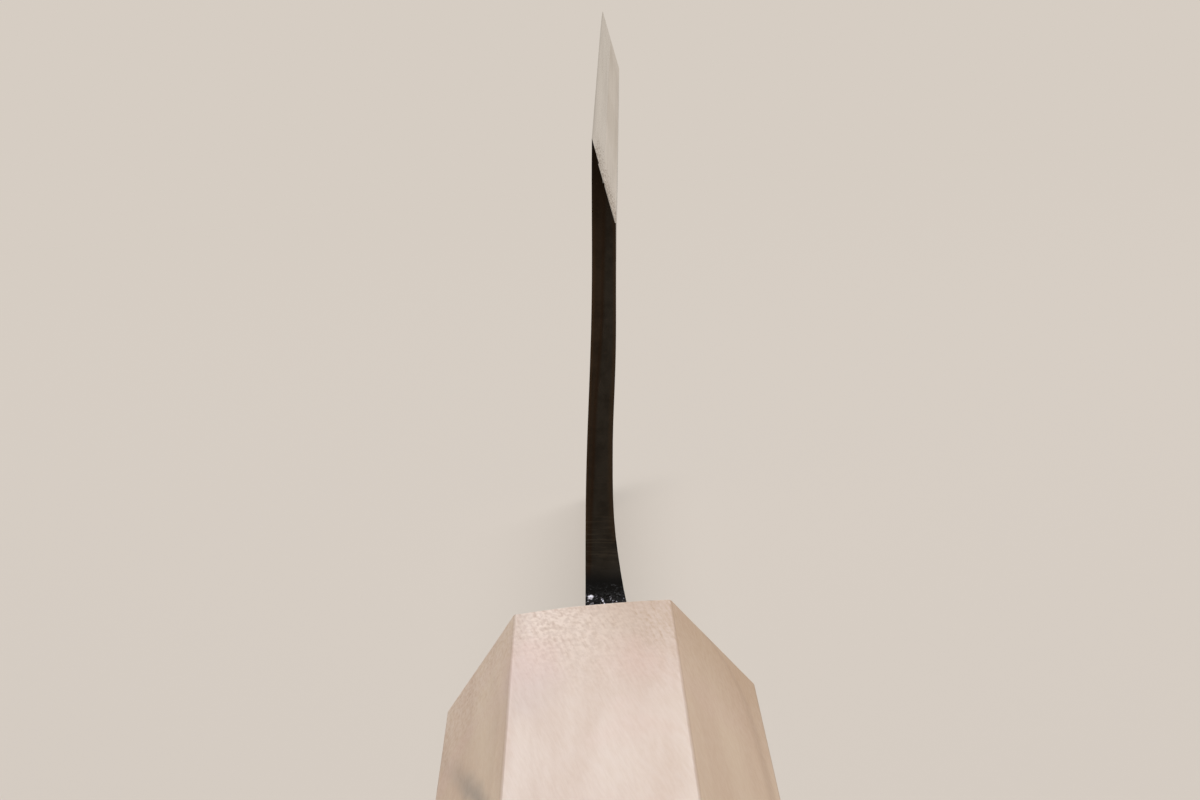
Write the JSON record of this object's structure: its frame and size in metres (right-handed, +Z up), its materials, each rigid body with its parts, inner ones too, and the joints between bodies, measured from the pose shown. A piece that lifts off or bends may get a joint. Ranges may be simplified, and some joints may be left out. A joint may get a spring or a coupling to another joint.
{
  "type": "nakiri knife",
  "caption": "Vegetable knife with a tall straight-edged single-bevel blade and an octagonal wooden handle, standing on its spine with the edge up.",
  "frame": {"origin": "middle of the knife's footprint, on the table it stands on with its edge up", "axes": "+Y from the butt of the handle to the tip, +Z up, from the spine to the cutting edge, +X to the bevelled side"},
  "size_m": [0.0222, 0.306, 0.0528],
  "materials": {
    "soft_iron": "satin ground, with black forge scale left on the heel, the spine and the neck",
    "hard_steel": "satin ground, with black forge scale left on the heel",
    "handle_wood": "pale fine-grained wood, unvarnished",
    "resin": "dull dark resin"
  },
  "bodies": {
    "root": {"blade_iron": "soft_iron", "blade_steel": "hard_steel", "handle": "handle_wood", "tang_resin": "resin"}
  },
  "joints": []
}
